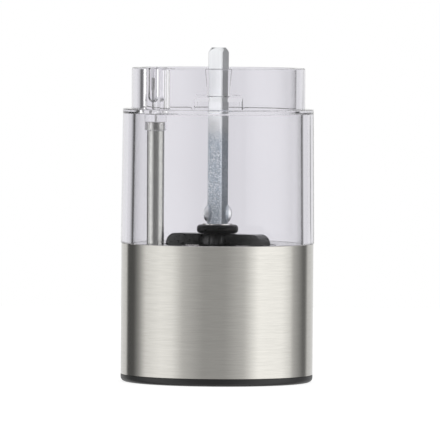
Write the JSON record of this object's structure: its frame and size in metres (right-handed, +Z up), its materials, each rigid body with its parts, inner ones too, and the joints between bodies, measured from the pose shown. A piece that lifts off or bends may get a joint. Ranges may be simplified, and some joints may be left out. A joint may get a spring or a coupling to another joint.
{
  "type": "pepper mill lower unit",
  "caption": "Round pepper mill lower unit: clear hopper with a lock neck, steel sleeve, black base and a burr grinder on a square drive shaft, set by a knob underneath.",
  "frame": {"origin": "centre of the base's underside, on the drive shaft's axis", "axes": "+Z up along the drive shaft, -Y towards the camera of the picture, +X to the right in it"},
  "size_m": [0.0564, 0.0564, 0.0974],
  "materials": {
    "clear_acrylic": "polished",
    "brushed_sleeve": "brushed round the axis",
    "black_abs": "fine matt",
    "black_nylon": "semi-gloss",
    "white_ceramic": "sintered ceramic",
    "plated_steel": "zinc plated",
    "bright_steel": "bright",
    "nut_brass": "turned",
    "lead_sheath": "matt",
    "lamp_resin": "clear resin"
  },
  "bodies": {
    "unit": {"hopper": "clear_acrylic", "steel_sleeve": "brushed_sleeve", "base": "black_abs", "funnel": "clear_acrylic", "grinder_housing": "black_abs", "fixed_burr": "white_ceramic", "bridge": "black_nylon", "base_screws": "bright_steel", "bridge_screws": "bright_steel", "contact_plug": "clear_acrylic", "contact_pins": "bright_steel", "lead_tube": "bright_steel", "lamp_leads": "lead_sheath", "lamp": "lamp_resin", "lamp_lens": "clear_acrylic"},
    "drive": {"drive_shaft": "plated_steel", "ear_washer": "bright_steel", "thrust_bush": "black_nylon", "spring_washer": "bright_steel", "grinder_spring": "bright_steel"},
    "rotor": {"rotor_burr": "white_ceramic", "rotor_driver": "black_nylon", "spring_seat": "black_nylon"},
    "adjuster": {"adjusting_knob": "black_abs", "knob_nut": "nut_brass"}
  },
  "joints": [
    {"name": "shaft_spin", "type": "hinge", "parent": "unit", "child": "drive", "pos_m": [0, 0, 0.04], "axis": [0, 0, 1], "continuous": true},
    {"name": "rotor_lift", "type": "slide", "parent": "drive", "child": "rotor", "axis": [0, 0, 1], "range_m": [0, 0.00105], "deforming": ["grinder_spring"]},
    {"name": "knob_turn", "type": "hinge", "parent": "rotor", "child": "adjuster", "pos_m": [0, 0, 0.005], "axis": [0, 0, 1], "range_deg": [0, 540]}
  ],
  "couplings": [
    {"joint": "knob_turn", "follows": "rotor_lift", "rad_per_m": 8976}
  ]
}
